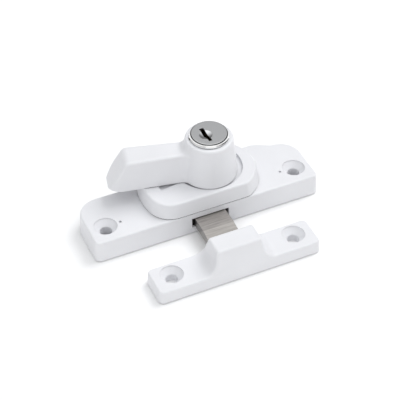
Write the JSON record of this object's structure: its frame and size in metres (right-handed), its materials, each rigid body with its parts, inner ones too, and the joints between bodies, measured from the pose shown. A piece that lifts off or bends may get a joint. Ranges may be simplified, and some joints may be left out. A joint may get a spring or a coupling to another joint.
{
  "type": "window lock",
  "caption": "Key-locking window fastener: a white lever on a low boss shoots a flat steel bolt into a separate arched keeper.",
  "frame": {"origin": "midway between the two fixing screws of the base plate, on the face that goes against the window", "axes": "+X along the fixing plate, -Y from the plate towards the keeper, +Z away from the window"},
  "size_m": [0.09, 0.0556, 0.0332],
  "materials": {
    "white_coat": "white powder coat on die-cast metal, semi-gloss",
    "brushed_bolt": "brushed across its travel",
    "cap_chrome": "polished rim, finely brushed face",
    "lock_brass": "turned, plain",
    "bush_brass": "turned, plain",
    "zinc_steel": "zinc plated",
    "spring_steel": "hardened, bright"
  },
  "bodies": {
    "base": {"base_plate": "white_coat", "boss_housing": "white_coat", "housing_screws": "zinc_steel", "back_cover": "zinc_steel", "cover_screws": "zinc_steel", "spindle_bush": "bush_brass", "keeper": "white_coat"},
    "handle": {"handle_lever": "white_coat", "spindle": "zinc_steel", "handle_screw": "zinc_steel", "crank_arm": "zinc_steel", "crank_pin": "zinc_steel", "spring_washer": "spring_steel", "lock_barrel": "lock_brass", "barrel_screw": "zinc_steel", "locking_pin_spring": "spring_steel"},
    "bolt": {"bolt": "brushed_bolt"},
    "plug": {"key_plug": "lock_brass", "wafers": "lock_brass", "cylinder_cap": "cap_chrome", "lock_cam": "zinc_steel", "cam_screw": "zinc_steel"},
    "locking_pin": {"locking_pin": "spring_steel"}
  },
  "joints": [
    {"name": "handle_turn", "type": "hinge", "parent": "base", "child": "handle", "pos_m": [0.0055, 0.00574, 0.0153], "axis": [0, 0, 1], "range_deg": [-76.2, 13.8]},
    {"name": "bolt_slide", "type": "slide", "parent": "base", "child": "bolt", "axis": [0, 1, 0], "range_m": [-0.00246, 0.01351]},
    {"name": "key_turn", "type": "hinge", "parent": "handle", "child": "plug", "pos_m": [0.0055, 0.00574, 0.027], "axis": [0, 0, -1], "range_deg": [0, 90]},
    {"name": "pin_drop", "type": "slide", "parent": "handle", "child": "locking_pin", "axis": [0, 0, -1], "range_m": [0, 0.0016], "deforming": ["locking_pin_spring"]}
  ],
  "couplings": [
    {"joint": "bolt_slide", "follows": "handle_turn", "m_per_rad": -0.010153},
    {"joint": "pin_drop", "follows": "key_turn", "m_per_rad": 0.0010185}
  ]
}
